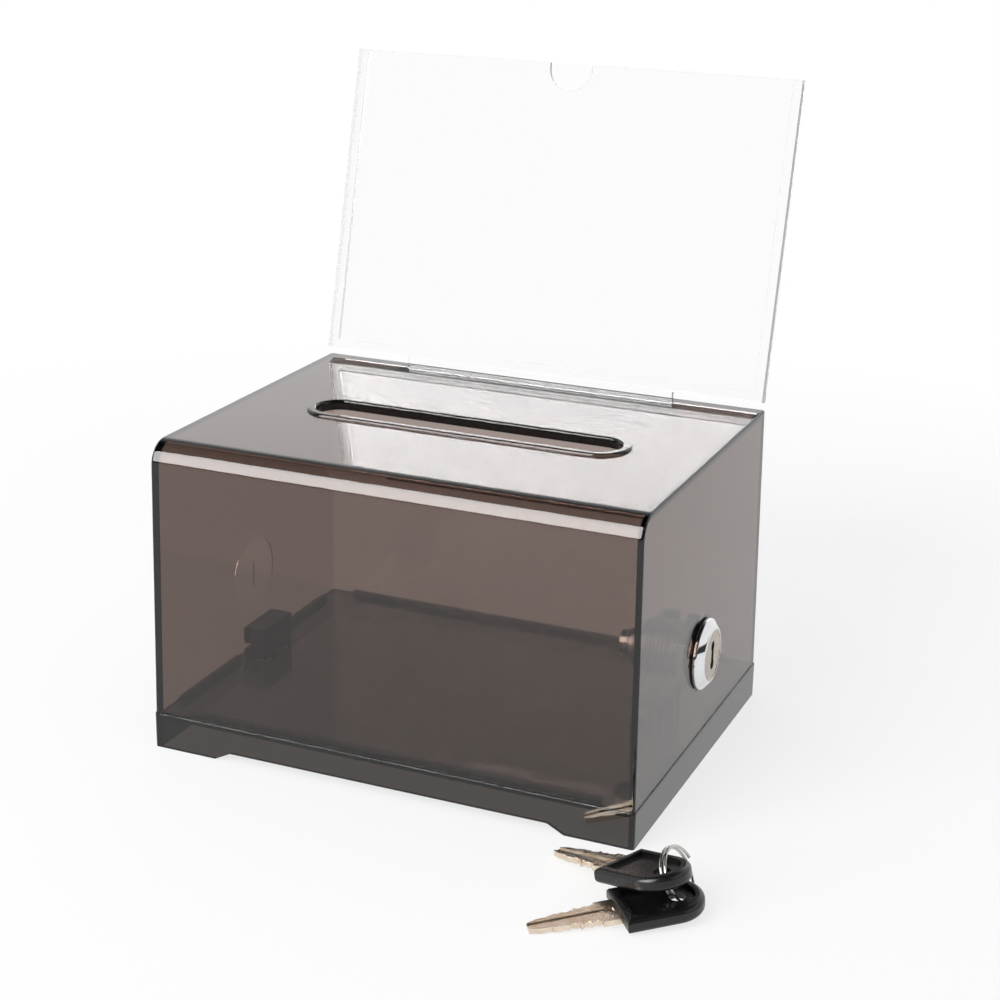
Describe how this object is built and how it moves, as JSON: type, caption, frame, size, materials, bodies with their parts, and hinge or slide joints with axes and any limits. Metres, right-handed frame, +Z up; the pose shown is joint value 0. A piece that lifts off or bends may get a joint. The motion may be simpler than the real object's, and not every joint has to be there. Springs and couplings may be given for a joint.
{
  "type": "locking donation box",
  "caption": "Smoked see-through collection box with a coin slot, a leaning clear sign holder, a cam lock in the side and its keys on a split ring.",
  "frame": {"origin": "on the table under the middle of the base, level with the bottom of its feet", "axes": "+Z up, -Y towards the rounded front, +X towards the side with the lock"},
  "size_m": [0.1935, 0.2024, 0.2061],
  "materials": {
    "smoked_cover": "polished smoked transparent plastic",
    "smoked_base": "polished smoked transparent plastic",
    "clear_acrylic": "polished clear acrylic sheet",
    "black_block": "moulded black plastic",
    "screw_steel": "zinc-plated",
    "zinc_steel": "zinc-plated",
    "cam_steel": "stamped and zinc-plated",
    "spring_steel": "bright wire",
    "lock_chrome": "polished chrome plate",
    "plug_nickel": "satin nickel plate",
    "wafer_brass": "stamped",
    "gasket_rubber": "matt",
    "key_black": "moulded, satin",
    "key_nickel": "nickel plate",
    "ring_steel": "bright plated wire"
  },
  "bodies": {
    "base": {"base_tray": "smoked_base", "hook_block": "black_block", "catch_block": "smoked_base", "block_screws": "screw_steel"},
    "cover": {"cover_shell": "smoked_cover", "lock_housing": "lock_chrome", "lock_gasket": "gasket_rubber", "lock_washer": "zinc_steel", "lock_nut": "zinc_steel"},
    "lock_core": {"lock_plug": "plug_nickel", "lock_wafers": "wafer_brass", "wafer_springs": "spring_steel", "stop_washer": "zinc_steel", "lock_cam": "cam_steel", "cam_spring_washer": "spring_steel", "cam_screw": "screw_steel"},
    "sign_holder": {"sign_front_pane": "clear_acrylic", "sign_back_pane": "clear_acrylic", "sign_left_strip": "clear_acrylic", "sign_right_strip": "clear_acrylic", "sign_tongue_strip": "clear_acrylic"},
    "ring": {"key_ring": "ring_steel"},
    "lower_key": {"lower_key_head": "key_black", "lower_key_blade": "key_nickel"},
    "upper_key": {"upper_key_head": "key_black", "upper_key_blade": "key_nickel"}
  },
  "joints": [
    {"name": "cover_tilt", "type": "hinge", "parent": "base", "child": "cover", "pos_m": [-0.0812, 0, 0.0118], "axis": [0, -1, 0], "range_deg": [0, 75]},
    {"name": "lock_turn", "type": "hinge", "parent": "cover", "child": "lock_core", "pos_m": [0.0806, 0, 0.0388], "axis": [-1, 0, 0], "range_deg": [0, 90]},
    {"name": "sign_lift", "type": "slide", "parent": "cover", "child": "sign_holder", "axis": [0, 0.2445, 0.9697], "range_m": [0, 0.03]},
    {"name": "keys_lift", "type": "slide", "parent": "base", "child": "ring", "axis": [0, 0, 1], "range_m": [0, 0.05]},
    {"name": "lower_key_swing", "type": "hinge", "parent": "ring", "child": "lower_key", "pos_m": [0.10404, -0.08831, 0.0039], "axis": [-0.0545, -0.0435, 0.9976], "range_deg": [-15, 20]},
    {"name": "upper_key_swing", "type": "hinge", "parent": "ring", "child": "upper_key", "pos_m": [0.09989, -0.08968, 0.0113], "axis": [-0.2193, 0.1022, 0.9703], "range_deg": [-10, 20]}
  ]
}
